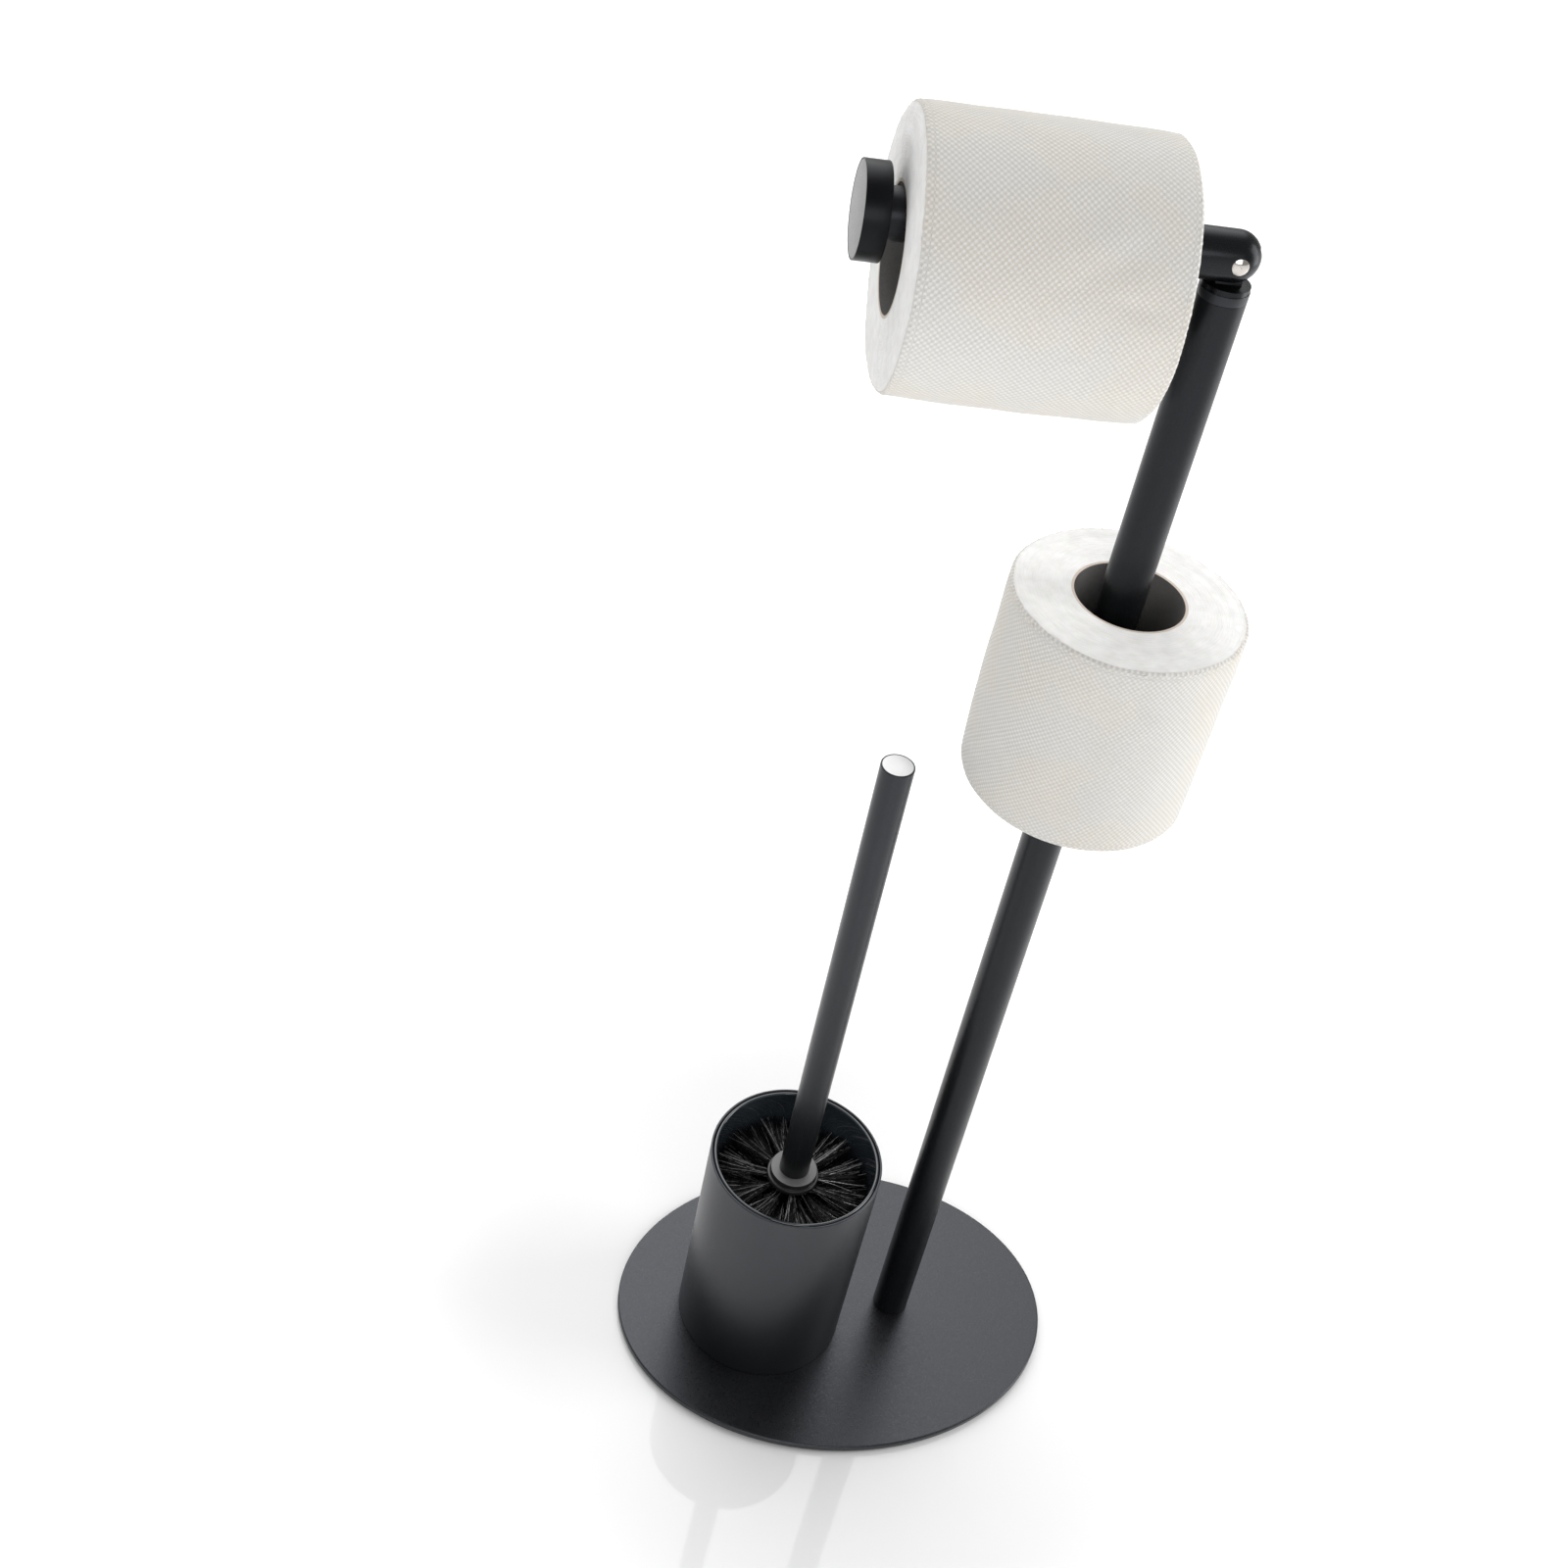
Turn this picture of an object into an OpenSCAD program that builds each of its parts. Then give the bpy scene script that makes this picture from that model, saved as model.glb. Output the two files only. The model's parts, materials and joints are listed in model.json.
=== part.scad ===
// Free-standing toilet paper holder with a fold-up arm, a spare roll rest and a toilet brush.
// Origin: centre of the base plate at floor level. +Z up, X along the long axis of the plate.

/* [Base] */
// Length of the oval base plate
plate_l = 240; // [200:1:320]
// Width of the oval base plate
plate_w = 180; // [150:1:280]
// Thickness of the steel plate
plate_t = 3.6; // [3.4:0.1:8]
// Thickness of the anti-slip floor pad
pad_t = 1.4; // [1:0.1:4]
// How far the floor pad stays inside the edge of the plate
pad_inset = 3; // [1:0.5:10]

/* [Pole] */
// Distance of the pole from the centre of the plate
pole_x = 34; // [20:1:60]
// Outer diameter of the pole and arm tubes
tube_d = 19; // [17:0.5:24]
// Wall of the pole and arm tubes
tube_wall = 1.5; // [1:0.1:2]
// Height of the arm axis above the floor
arm_z = 653; // [620:1:800]
// Height of the collar ring on the pole head
collar_h = 3.8; // [3:0.1:8]
// Diameter of the neck between the collar ring and the fork
neck_d = 18.4; // [15:0.1:18.6]
// Height of that neck
neck_h = 2; // [1:0.1:6]
// Depth of the pole head plug in the tube
head_plug_h = 24; // [12:1:40]
// Height of the threaded plug in the foot of the pole
foot_plug_h = 26; // [16:1:50]
// Depth of the thread in that plug
foot_thread_h = 22; // [12:1:46]

/* [Hinge] */
// Diameter of the hinge pin
pin_d = 4; // [3:0.5:5]
// Diameter of the domed pin heads
pin_head_d = 6.4; // [6:0.1:8]
// Depth of the recesses for the pin heads in the sides of the fork
pin_recess = 1.1; // [0.8:0.1:1.2]
// Thickness of the tongue between the ears of the fork
tongue_t = 6; // [5:0.5:8]
// Width of the tongue, also the diameter of its round top
tongue_w = 10; // [8:0.5:14]
// Length of the fork from the pin to the arm tube
fork_l = 27; // [18:1:40]
// Depth of the fork spigot in the arm tube
spigot_l = 16; // [10:1:30]
// Gap between the neck and the fork
neck_gap = 0.5; // [0.3:0.1:2]

/* [Arm] */
// Angle of the arm away from the long axis of the plate
arm_turn = -5; // [-15:1:15]
// Distance from the pin to the outer face of the end knob
arm_l = 138; // [132:1:170]
// Diameter of the end knob, which passes through a roll core
knob_d = 35; // [28:1:40]
// Thickness of the end knob
knob_t = 9.5; // [7:0.5:16]
// Thickness of the cover disc in the face of the knob
cover_t = 1; // [0.6:0.1:2]
// Rim left around the cover disc
cover_rim = 0.5; // [0.4:0.1:2]
// Length of the threaded plug in the end of the arm tube
end_plug_l = 16; // [12:1:30]
// Solid end of that plug inside the tube
end_plug_web = 3; // [2:0.5:5]

/* [Rolls] */
// Inner diameter of the cardboard cores
core_id = 46.2; // [42:0.5:50]
// Wall of the cardboard cores
core_wall = 1.2; // [0.6:0.1:2]
// Width of a roll
roll_w = 97.5; // [90:0.5:100]
// Outer diameter of the roll on the arm
roll_d = 103; // [60:1:120]
// Outer diameter of the spare roll
spare_d = 100; // [60:1:112]
// Distance from the hinge pin to the near end of the roll on the arm
roll_start = 25.4; // [24:0.1:28]
// Height of the underside of the spare roll
spare_z = 404.5; // [300:0.5:440]
// How far the loose spare roll sits off the pole along X
spare_dx = 2.5; // [-3:0.5:3]
// How far the loose spare roll sits off the pole along Y
spare_dy = -1.5; // [-3:0.5:3]
// Diameter of the flange that carries the spare roll
rest_d = 66; // [56:1:80]
// Thickness of that flange
rest_t = 3; // [2:0.5:5]
// Diameter of the collar inside the core of the spare roll
rest_collar_d = 28; // [26:0.5:32]
// Height of that collar
rest_collar_h = 12; // [8:1:20]

/* [Brush holder] */
// Distance of the brush holder from the centre of the plate
holder_x = -41.5; // [-55:1:-40]
// Outer diameter of the brush holder
holder_d = 89.4; // [70:0.1:112]
// Height of the brush holder
holder_h = 132; // [100:1:180]
// Wall and floor of the brush holder
holder_wall = 1.2; // [0.8:0.1:2.5]
// Wall and floor of the loose inner cup
cup_wall = 1.8; // [1.2:0.1:3]
// Height of the skirt that the inner cup stands on
cup_skirt_h = 7; // [6:0.5:16]

/* [Brush] */
// Diameter of the brush handle
handle_d = 15.4; // [13:0.1:20]
// Wall of the brush handle tube
handle_wall = 1; // [0.8:0.1:1.5]
// Height of the top of the handle above the floor
handle_z = 406.5; // [320:1:520]
// Diameter of the wide lower step of the hub
hub_d = 27; // [22:0.5:34]
// Height of the wide lower step
hub_base_h = 2.6; // [2:0.1:6]
// Diameter of the narrow upper step of the hub
hub_top_d = 24.4; // [20:0.1:32]
// Height of the narrow upper step
hub_top_h = 3.4; // [2:0.1:8]
// Distance from the rim of the holder down to the top of the hub
hub_drop = 9; // [5:0.5:40]
// Diameter of the brush core
brush_core_d = 13; // [10:0.5:16]
// Thickness of the disc in the top of the handle
cap_t = 1.2; // [0.8:0.1:2]
// Length of the threaded insert in the foot of the handle
insert_h = 18; // [12:1:30]
// Gap between the bristles and the inner cup
bristle_gap = 1; // [0.6:0.1:8]
// Distance that the brush core stands out below the bristles
bristle_lift = 2; // [1:0.5:6]
// Radius of the round lower edge of the bristles
bristle_round = 14; // [4:1:20]

/* [Screws] */
// Thread diameter of the screw that holds the pole
pole_screw_d = 6; // [5:1:6]
// Thread diameter of the screw that holds the brush holder
holder_screw_d = 5; // [4:1:6]
// Thread diameter of the screw that holds the knob
knob_screw_d = 5; // [4:1:6]
// Thread diameter of the grub screw in the spare roll rest
grub_d = 4; // [3:1:5]
// Thread diameter of the stud in the brush handle
stud_d = 6; // [5:1:8]
// Depth of the stud in the brush core
stud_depth = 8; // [5:1:20]
// Depth of the stud in the handle insert
stud_reach = 9; // [5:1:9]

/* [Clearances] */
// Radial clearance of plugs and spigots in the tubes
plug_gap = 0.05; // [0.03:0.01:0.1]
// Radial clearance of the pin in the tongue
pin_gap = 0.05; // [0.02:0.01:0.09]
// Radial clearance of the pin in the fork, which holds it
pin_seat_gap = 0.02; // [0.01:0.01:0.05]
// Radial clearance of the pin heads and screw heads in their recesses
head_gap = 0.1; // [0.1:0.05:0.3]
// Radial clearance of screws in their holes
screw_gap = 0.25; // [0.2:0.05:0.5]
// Radial clearance drawn between mating threads
thread_gap = 0.04; // [0.02:0.01:0.1]
// Gap between the fork and the tongue on each side
fork_gap = 0.3; // [0.2:0.05:0.6]
// Gap between the stops of the hinge
stop_gap = 0.1; // [0.05:0.05:0.3]
// Radial gap between the inner cup and the brush holder
cup_gap = 0.4; // [0.3:0.1:1]
// Gap between loose pieces that rest on each other
rest_gap = 0.05; // [0.02:0.01:0.1]
// Gap between the arm tube and the roll core that hangs on it
core_gap = 0.3; // [0.2:0.05:0.5]
// Gap between the brush and the floor of the inner cup
brush_gap = 0.3; // [0.2:0.05:2]
// Depth left free past the tip of a screw
tip_gap = 2.5; // [1:0.5:3]

/* [Hidden] */
$fn = 96;
OUTLINE_STEPS = 180;
HEXAGON = 6;
// How far a cutting shape runs past the face that it cuts
CUT = 1;
// Proportions of screw heads, sockets and nuts to the thread diameter
HEAD_SHARE = 2;
SOCKET_SHARE = 0.7;
NUT_H_SHARE = 0.8;
NUT_D_SHARE = 1.85;
plate_top = pad_t + plate_t;
tube_r = tube_d / 2;
tube_id = tube_d - 2 * tube_wall;
plug_d = tube_id - 2 * plug_gap;
neck_top = arm_z - tube_r - neck_gap;
collar_top = neck_top - neck_h;
pole_top = collar_top - collar_h;
core_od = core_id + 2 * core_wall;
roll_z = arm_z + tube_r + core_gap - core_id / 2;
arm_tube_end = arm_l - knob_t;
knob_base_t = knob_t - cover_t;
knob_head_d = HEAD_SHARE * knob_screw_d;
knob_bore_h = SOCKET_SHARE * knob_screw_d;
head_seat = tube_r - pin_recess;
rest_top = spare_z - rest_gap;
grub_z = rest_top + rest_collar_h / 2;
holder_top = plate_top + holder_h;
holder_id = holder_d - 2 * holder_wall;
cup_d = holder_id - 2 * cup_gap;
cup_id = cup_d - 2 * cup_wall;
cup_z = plate_top + holder_wall + rest_gap;
cup_floor_z = cup_z + cup_skirt_h + cup_wall;
nut_h = NUT_H_SHARE * holder_screw_d;
hub_top_z = holder_top - hub_drop;
hub_z = hub_top_z - hub_top_h - hub_base_h;
handle_id = handle_d - 2 * handle_wall;
cap_d = handle_id + handle_wall;
brush_z = cup_floor_z + brush_gap;
bristle_z = brush_z + bristle_lift;
bristle_r = cup_id / 2 - bristle_gap;
bristle_top_z = hub_z - rest_gap;

// ---- shared shapes ----

// Oval outline with the long axis along X
module oval(l, w) {
    step = 360 / OUTLINE_STEPS;
    polygon([for (a = [0 : step : 360 - step]) [l / 2 * cos(a), w / 2 * sin(a)]]);
}

// Hole through a piece that reaches from z = 0 to z = h
module through_hole(d, h) {
    translate([0, 0, -CUT]) cylinder(d = d, h = h + 2 * CUT);
}

// Hexagon socket sunk from z = 0 upwards, in the head of a screw with thread diameter d
module socket(d, h) {
    translate([0, 0, -CUT]) cylinder(d = SOCKET_SHARE * d, h = h + CUT, $fn = HEXAGON);
}

// Tube standing on z = 0
module tube(od, id, h) {
    difference() {
        cylinder(d = od, h = h);
        through_hole(id, h);
    }
}

// Countersunk screw with its head down at z = 0 and a hexagon socket in the head
module countersunk_screw(d, l) {
    head_h = d / 2;
    difference() {
        union() {
            cylinder(d1 = HEAD_SHARE * d, d2 = d, h = head_h);
            cylinder(d = d, h = l);
        }
        socket(d, SOCKET_SHARE * head_h);
    }
}

// Hole for that screw through a plate that starts at z = 0
module countersunk_hole(d, t) {
    hole_d = d + 2 * screw_gap;
    sink_h = (HEAD_SHARE * d + 2 * screw_gap - hole_d) / 2;
    translate([0, 0, -CUT]) cylinder(d1 = hole_d + 2 * (sink_h + CUT), d2 = hole_d, h = sink_h + CUT);
    through_hole(hole_d, t);
}

// Moves to the axis of the pole at floor level
module at_pole() {
    translate([pole_x, 0, 0]) children();
}

// Frame of the arm: origin at the hinge pin, x along the arm, z up
module on_arm() {
    translate([pole_x, 0, arm_z]) rotate([0, 0, 180 + arm_turn]) children();
}

// Turns a piece that stands on z = 0 so that it lies along the arm, starting at distance s
module along_arm(s) {
    on_arm() translate([s, 0, 0]) rotate([0, 90, 0]) children();
}

module at_holder() {
    translate([holder_x, 0, 0]) children();
}

module at_spare() {
    translate([pole_x + spare_dx, spare_dy, spare_z]) children();
}

// ---- base ----

module floor_pad() {
    color("#2a2a2c") difference() {
        linear_extrude(pad_t) oval(plate_l - 2 * pad_inset, plate_w - 2 * pad_inset);
        for (p = [[pole_x, pole_screw_d], [holder_x, holder_screw_d]])
            translate([p[0], 0, 0]) through_hole((HEAD_SHARE + 1) * p[1], pad_t);
    }
}

module base_plate() {
    color("#242527") translate([0, 0, pad_t]) difference() {
        linear_extrude(plate_t) oval(plate_l, plate_w);
        translate([pole_x, 0, 0]) countersunk_hole(pole_screw_d, plate_t);
        translate([holder_x, 0, 0]) countersunk_hole(holder_screw_d, plate_t);
    }
}

module pole_screw() {
    screw_l = plate_t + foot_thread_h - tip_gap;
    color("silver") at_pole() translate([0, 0, pad_t]) countersunk_screw(pole_screw_d, screw_l);
}

module holder_screw() {
    screw_l = plate_t + holder_wall + nut_h + rest_gap;
    color("silver") at_holder() translate([0, 0, pad_t]) countersunk_screw(holder_screw_d, screw_l);
}

// ---- pole ----

module pole_tube() {
    color("#1c1d1f") at_pole() translate([0, 0, plate_top]) tube(tube_d, tube_id, pole_top - plate_top);
}

module pole_foot_plug() {
    color("silver") at_pole() translate([0, 0, plate_top]) difference() {
        cylinder(d = plug_d, h = foot_plug_h);
        translate([0, 0, -CUT]) cylinder(d = pole_screw_d + 2 * thread_gap, h = foot_thread_h + CUT);
    }
}

// Plug, collar ring, neck and hinge tongue. The flat sides of the tongue are the stops of the arm.
module pole_head() {
    color("#1b1c1e") {
        at_pole() translate([0, 0, pole_top - head_plug_h]) cylinder(d = plug_d, h = head_plug_h);
        at_pole() translate([0, 0, pole_top]) cylinder(d = tube_d, h = collar_h);
        at_pole() translate([0, 0, pole_top]) cylinder(d = neck_d, h = collar_h + neck_h);
        on_arm() difference() {
            union() {
                rotate([90, 0, 0]) cylinder(d = tongue_w, h = tongue_t, center = true);
                translate([-tongue_w / 2, -tongue_t / 2, neck_top - arm_z])
                    cube([tongue_w, tongue_t, arm_z - neck_top]);
            }
            rotate([90, 0, 0]) cylinder(d = pin_d + 2 * pin_gap, h = tube_d, center = true);
        }
    }
}

// Flange with a collar that is clamped on the pole
module spare_roll_rest() {
    color("#1b1c1e") at_pole() difference() {
        translate([0, 0, rest_top - rest_t]) difference() {
            union() {
                cylinder(d = rest_d, h = rest_t);
                cylinder(d = rest_collar_d, h = rest_t + rest_collar_h);
            }
            through_hole(tube_d + 2 * plug_gap, rest_t + rest_collar_h);
        }
        translate([0, 0, grub_z]) rotate([0, 90, 0])
            cylinder(d = grub_d + 2 * thread_gap, h = rest_collar_d);
    }
}

module rest_grub_screw() {
    grub_l = (rest_collar_d - tube_d) / 2 - screw_gap;
    color("silver") at_pole() translate([rest_collar_d / 2 - screw_gap, 0, grub_z]) rotate([0, -90, 0])
        difference() {
            cylinder(d = grub_d, h = grub_l - rest_gap);
            socket(grub_d, grub_l / 2);
        }
}

// ---- arm ----

// Round-ended fork with a blind slot that is open below and at the end
module arm_fork() {
    slot_w = tongue_t + 2 * fork_gap;
    slot_reach = tongue_w / 2 + stop_gap;
    color("#1b1c1e") on_arm() difference() {
        union() {
            sphere(r = tube_r);
            rotate([0, 90, 0]) cylinder(r = tube_r, h = fork_l);
            rotate([0, 90, 0]) cylinder(d = plug_d, h = fork_l + spigot_l);
        }
        translate([-tube_d, -slot_w / 2, -tube_d]) cube([tube_d + slot_reach, slot_w, tube_d + slot_reach]);
        rotate([90, 0, 0]) cylinder(d = pin_d + 2 * pin_seat_gap, h = 2 * tube_d, center = true);
        for (side = [0, 180])
            rotate([0, 0, side]) translate([0, head_seat, 0])
                rotate([-90, 0, 0]) cylinder(d = pin_head_d + 2 * head_gap, h = tube_d);
    }
}

// Pin with a domed head at each end
module hinge_pin() {
    head_rim = 0.6;
    dome_h = 0.9;
    under_head = head_seat + rest_gap;
    dome_r = (pow(pin_head_d / 2, 2) + dome_h * dome_h) / (2 * dome_h);
    color("#c9c6c1") on_arm() {
        rotate([90, 0, 0]) cylinder(d = pin_d, h = 2 * under_head + head_rim, center = true);
        for (side = [0, 180])
            rotate([0, 0, side]) translate([0, under_head, 0]) rotate([-90, 0, 0]) {
                cylinder(d = pin_head_d, h = head_rim);
                intersection() {
                    translate([0, 0, head_rim + dome_h - dome_r]) sphere(r = dome_r);
                    translate([0, 0, head_rim / 2]) cylinder(d = pin_head_d, h = dome_h + CUT);
                }
            }
    }
}

module arm_tube() {
    color("#1c1d1f") along_arm(fork_l) tube(tube_d, tube_id, arm_tube_end - fork_l);
}

module arm_end_plug() {
    color("silver") along_arm(arm_tube_end - end_plug_l) difference() {
        cylinder(d = plug_d, h = end_plug_l);
        translate([0, 0, end_plug_web]) cylinder(d = knob_screw_d + 2 * thread_gap, h = end_plug_l);
    }
}

// Knob with a counterbore for its screw and a shallow recess for the cover disc
module end_knob() {
    color("#1b1c1e") along_arm(arm_tube_end) difference() {
        cylinder(d = knob_d, h = knob_t);
        through_hole(knob_screw_d + 2 * screw_gap, knob_t);
        translate([0, 0, knob_base_t - knob_bore_h]) cylinder(d = knob_head_d + 2 * screw_gap, h = knob_t);
        translate([0, 0, knob_base_t]) cylinder(d = knob_d - 2 * cover_rim, h = cover_t + CUT);
    }
}

module knob_screw() {
    head_h = knob_bore_h - screw_gap;
    shank = knob_base_t - knob_bore_h + end_plug_l - end_plug_web - tip_gap;
    color("silver") along_arm(arm_tube_end + knob_base_t - screw_gap) rotate([180, 0, 0]) difference() {
        union() {
            cylinder(d = knob_head_d, h = head_h);
            cylinder(d = knob_screw_d, h = head_h + shank);
        }
        socket(knob_screw_d, head_h / 2);
    }
}

module knob_cover_disc() {
    color("#c8cacc") along_arm(arm_l - cover_t)
        cylinder(d = knob_d - 2 * (cover_rim + rest_gap), h = cover_t);
}

// ---- rolls ----

// Cardboard core of a roll that stands on z = 0
module roll_core() {
    tube(core_od, core_id, roll_w);
}

// Wound paper of a roll that stands on z = 0
module roll_paper(d) {
    tube(d, core_od, roll_w);
}

// The roll hangs on the arm with the top of its core on the tube
module at_arm_roll() {
    on_arm() translate([roll_start, 0, roll_z - arm_z]) rotate([0, 90, 0]) children();
}

module arm_roll_core() {
    color("#5a544d") at_arm_roll() roll_core();
}

module arm_roll_paper() {
    color("#f2f0ec") at_arm_roll() roll_paper(roll_d);
}

module spare_roll_core() {
    color("#5a544d") at_spare() roll_core();
}

module spare_roll_paper() {
    color("#f2f0ec") at_spare() roll_paper(spare_d);
}

// ---- brush holder ----

module brush_holder() {
    color("#2c2d2f") at_holder() translate([0, 0, plate_top]) difference() {
        cylinder(d = holder_d, h = holder_h);
        translate([0, 0, holder_wall]) cylinder(d = holder_id, h = holder_h);
        through_hole(holder_screw_d + 2 * screw_gap, holder_wall);
    }
}

module holder_nut() {
    color("silver") at_holder() translate([0, 0, plate_top + holder_wall]) difference() {
        cylinder(d = NUT_D_SHARE * holder_screw_d, h = nut_h, $fn = HEXAGON);
        through_hole(holder_screw_d + 2 * thread_gap, nut_h);
    }
}

// Loose cup on a skirt, which leaves room for the nut below its floor
module inner_cup() {
    lip_r = 0.6;
    color("#17181a") at_holder() rotate_extrude() difference() {
        translate([0, cup_z]) square([cup_d / 2, holder_top - cup_z]);
        translate([-CUT, cup_z - CUT]) square([cup_id / 2 + CUT, cup_skirt_h + CUT]);
        translate([-CUT, cup_floor_z]) square([cup_id / 2 + CUT, holder_h]);
        translate([cup_id / 2, holder_top - lip_r]) difference() {
            translate([-CUT, 0]) square([CUT + lip_r, lip_r + CUT]);
            translate([lip_r, 0]) circle(r = lip_r);
        }
    }
}

// ---- brush ----

module brush_handle() {
    handle_l = handle_z - hub_top_z;
    color("#1c1d1f") at_holder() translate([0, 0, hub_top_z]) difference() {
        tube(handle_d, handle_id, handle_l);
        translate([0, 0, handle_l - cap_t]) cylinder(d = cap_d, h = cap_t + CUT);
    }
}

module handle_top_disc() {
    color("#e4e6e8") at_holder() translate([0, 0, handle_z - cap_t])
        cylinder(d = cap_d - 2 * rest_gap, h = cap_t);
}

module handle_insert() {
    color("silver") at_holder() translate([0, 0, hub_top_z]) difference() {
        cylinder(d = handle_id - 2 * plug_gap, h = insert_h);
        translate([0, 0, -CUT]) cylinder(d = stud_d + 2 * thread_gap, h = stud_reach + tip_gap + CUT);
    }
}

// Threaded stud from the brush core through the hub into the handle
module brush_stud() {
    color("silver") at_holder() translate([0, 0, hub_z - stud_depth])
        cylinder(d = stud_d, h = stud_depth + hub_top_z - hub_z + stud_reach);
}

module brush_hub() {
    color("#3a3b3d") at_holder() translate([0, 0, hub_z]) difference() {
        union() {
            cylinder(d = hub_d, h = hub_base_h);
            cylinder(d = hub_top_d, h = hub_base_h + hub_top_h);
        }
        through_hole(stud_d + 2 * screw_gap, hub_base_h + hub_top_h);
    }
}

module brush_core() {
    color("#202123") at_holder() difference() {
        translate([0, 0, brush_z]) cylinder(d = brush_core_d, h = hub_z - brush_z);
        translate([0, 0, hub_z - stud_depth - tip_gap])
            cylinder(d = stud_d + 2 * thread_gap, h = stud_depth + tip_gap + CUT);
    }
}

// Closed solid of the bristle field: a drum with a round lower edge around the core
module bristles() {
    flat_r = bristle_r - bristle_round;
    side_z = bristle_z + bristle_round;
    color("#0e0f10") at_holder() rotate_extrude() difference() {
        union() {
            translate([0, bristle_z]) square([flat_r, bristle_top_z - bristle_z]);
            translate([0, side_z]) square([bristle_r, bristle_top_z - side_z]);
            translate([flat_r, side_z]) circle(r = bristle_round);
        }
        translate([-CUT, bristle_z - CUT]) square([brush_core_d / 2 + CUT, holder_h]);
    }
}

floor_pad();
base_plate();
pole_screw();
holder_screw();
pole_tube();
pole_foot_plug();
pole_head();
spare_roll_rest();
rest_grub_screw();
arm_fork();
hinge_pin();
arm_tube();
arm_end_plug();
end_knob();
knob_screw();
knob_cover_disc();
arm_roll_core();
arm_roll_paper();
spare_roll_core();
spare_roll_paper();
brush_holder();
holder_nut();
inner_cup();
brush_handle();
handle_top_disc();
handle_insert();
brush_stud();
brush_hub();
brush_core();
bristles();
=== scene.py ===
"""Looks of a free-standing toilet paper holder with a toilet brush, built around its CAD frame."""

import json
import math
from collections import namedtuple

import bmesh
import bpy
import numpy as np
from mathutils import Matrix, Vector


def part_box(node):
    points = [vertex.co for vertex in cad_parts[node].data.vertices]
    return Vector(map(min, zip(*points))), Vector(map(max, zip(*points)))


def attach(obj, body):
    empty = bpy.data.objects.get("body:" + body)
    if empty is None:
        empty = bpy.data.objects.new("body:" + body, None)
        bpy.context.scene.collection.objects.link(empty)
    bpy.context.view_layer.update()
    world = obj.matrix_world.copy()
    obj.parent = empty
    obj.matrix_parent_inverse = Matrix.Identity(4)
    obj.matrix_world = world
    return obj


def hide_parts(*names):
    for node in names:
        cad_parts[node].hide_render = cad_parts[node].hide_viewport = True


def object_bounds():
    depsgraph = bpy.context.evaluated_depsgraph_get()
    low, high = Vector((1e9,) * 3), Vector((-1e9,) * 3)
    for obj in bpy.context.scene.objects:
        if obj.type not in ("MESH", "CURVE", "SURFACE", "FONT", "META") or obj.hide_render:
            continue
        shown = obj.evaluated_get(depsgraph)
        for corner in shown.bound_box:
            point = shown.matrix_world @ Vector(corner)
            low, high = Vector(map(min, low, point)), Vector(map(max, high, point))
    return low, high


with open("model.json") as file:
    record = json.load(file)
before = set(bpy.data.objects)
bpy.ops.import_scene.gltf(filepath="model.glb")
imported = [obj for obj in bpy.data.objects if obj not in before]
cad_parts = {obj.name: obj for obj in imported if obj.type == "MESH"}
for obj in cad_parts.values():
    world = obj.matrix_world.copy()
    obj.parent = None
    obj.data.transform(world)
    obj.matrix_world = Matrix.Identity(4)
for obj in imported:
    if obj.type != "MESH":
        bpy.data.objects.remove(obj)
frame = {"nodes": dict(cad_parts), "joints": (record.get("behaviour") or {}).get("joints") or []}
CAD_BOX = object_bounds()

MM = 0.001
TURN = 2 * math.pi
RNG = np.random.default_rng(11)

# Camera: its place in metres, the direction in which it lies and its roll in degrees, and its lens
CAMERA_AT = (-0.2734, -0.6375, 0.9651)
CAMERA_AZIMUTH = -16.08
CAMERA_ELEVATION = 40.71
CAMERA_ROLL = 11.95
CAMERA_LENS = 46.97
FILM_WIDTH = 36
NEAR_CLIP = 0.01

# Walls, edge roundings and gaps of the pieces, and the angle in degrees from which an edge is sharp. The
# cores also have a seam: half its width as a share of a turn, and its turns from end to end.
TUBE_WALL = 1.5 * MM
HOLDER_WALL = 1.2 * MM
CUP_WALL = 1.8 * MM
HANDLE_WALL = 1.0 * MM
CORE_WALL = 1.2 * MM
CORE_STEP = 6 * MM
SEAM_HALF = 0.008
SEAM_TURNS = 0.9
FINE_EDGE = 0.3 * MM
HOLDER_LIP = 0.54 * MM
PLATE_EDGE = 0.9 * MM
PLATE_FOOT_EDGE = 0.4 * MM
SCREW_GAP = 0.25 * MM
DISC_DOME = 0.08 * MM
HANDLE_DOME = 0.1 * MM
SHARP_ANGLE = 32

# Faces around the curved pieces
PLATE_SIDES = 240
PAPER_SIDES = 288
SHELL_SIDES = 192
TUBE_SIDES = 144
FINE_SIDES = 96
HOLE_SIDES = 48

# Studio: a dim white room with a bright glow behind and above the object. The glow is a cone with a soft
# border, in degrees from its middle. The floor glows too, in two steps, each between two distances from
# the middle in metres.
ROOM_LIGHT = 0.40
GLOW_LIGHT = 2.75
GLOW_FROM = (-0.08, 0.62, 0.62)
GLOW_SPREAD = (4, 44)
FLOOR_IOR = 1.5
FLOOR_TONE = 0.78
FLOOR_FADE = (0.16, 0.36)
FLOOR_GLOW = 0.38
FLOOR_FAR = (0.6, 2.5)
FLOOR_FAR_GLOW = 0.24
FLOOR_HALF = 20.0
FLOOR_GAP = 0.1 * MM

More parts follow.
